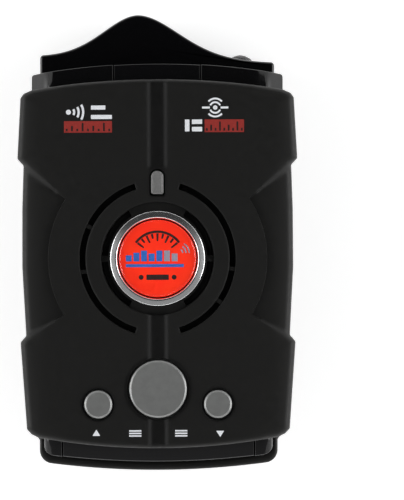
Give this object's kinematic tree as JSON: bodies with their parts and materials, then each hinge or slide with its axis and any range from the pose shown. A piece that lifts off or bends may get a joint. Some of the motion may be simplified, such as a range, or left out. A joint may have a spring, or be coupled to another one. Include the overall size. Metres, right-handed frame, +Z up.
{
  "type": "radar detector",
  "caption": "Dash-top radar and laser detector: soft-touch black case, smoked nose with an off-centre hump, chrome-ringed red emblem over the speaker, press buttons and a rear display window.",
  "frame": {"origin": "on the plane that the feet stand on, under the middle of the bounding box", "axes": "+Z up through the deck, +Y forwards through the laser window and windscreen, +X to the right seen from the display"},
  "size_m": [0.0686, 0.1119, 0.03],
  "materials": {
    "soft_touch_black": "soft-touch matte",
    "gloss_black": "gloss",
    "smoked_window": "gloss, infrared-transparent",
    "clear_lens": "clear gloss",
    "chrome": "bright plated",
    "silver_button": "satin silver paint",
    "red_label": "printed",
    "frosted": "frosted",
    "rubber": "matte",
    "steel": "plated",
    "board_green": "solder mask",
    "component_black": "matte",
    "die_cast": "as cast",
    "paper_label": "matte",
    "felt": "matte"
  },
  "bodies": {
    "case": {"antenna_window": "smoked_window", "capacitor": "steel", "case_screw_1": "steel", "case_screw_2": "steel", "case_screw_3": "steel", "case_screw_4": "steel", "display_board": "board_green", "display_frame": "gloss_black", "display_header": "component_black", "display_module": "component_black", "display_window": "smoked_window", "down_switch": "component_black", "emblem_dome": "clear_lens", "emblem_label": "red_label", "emblem_ring": "chrome", "foot_front_left": "rubber", "foot_front_right": "rubber", "foot_rear_left": "rubber", "foot_rear_right": "rubber", "front_bezel": "gloss_black", "horn_antenna": "die_cast", "indicator_led": "frosted", "indicator_pipe": "frosted", "inlet_pin": "steel", "key_board": "board_green", "key_board_screw_1": "steel", "key_board_screw_2": "steel", "key_header": "component_black", "laser_board": "board_green", "laser_lens": "clear_lens", "laser_sensor": "component_black", "laser_window": "smoked_window", "lens_barrel": "component_black", "lower_housing": "soft_touch_black", "main_board": "board_green", "main_board_screw_1": "steel", "main_board_screw_2": "steel", "menu_switch": "component_black", "mixer_board": "board_green", "mixer_shield": "steel", "power_inductor": "component_black", "power_inlet": "component_black", "processor_chip": "component_black", "rating_label": "paper_label", "slot_felt": "felt", "speaker_cone": "component_black", "speaker_frame": "steel", "speaker_gasket": "felt", "speaker_lead_a": "component_black", "speaker_lead_b": "component_black", "speaker_magnet": "steel", "top_cover": "soft_touch_black", "up_switch": "component_black", "voltage_regulator": "component_black"},
    "up_key": {"up_button": "silver_button", "up_plunger": "component_black"},
    "menu_key": {"menu_button": "silver_button", "menu_plunger": "component_black"},
    "down_key": {"down_button": "silver_button", "down_plunger": "component_black"}
  },
  "joints": [
    {"name": "up_press", "type": "slide", "parent": "case", "child": "up_key", "axis": [0, 0, -1], "range_m": [0, 0.0006], "stiffness_N_per_m": 300, "springref_m": -0.0005},
    {"name": "menu_press", "type": "slide", "parent": "case", "child": "menu_key", "axis": [0, 0, -1], "range_m": [0, 0.0006], "stiffness_N_per_m": 300, "springref_m": -0.0005},
    {"name": "down_press", "type": "slide", "parent": "case", "child": "down_key", "axis": [0, 0, -1], "range_m": [0, 0.0006], "stiffness_N_per_m": 300, "springref_m": -0.0005}
  ]
}
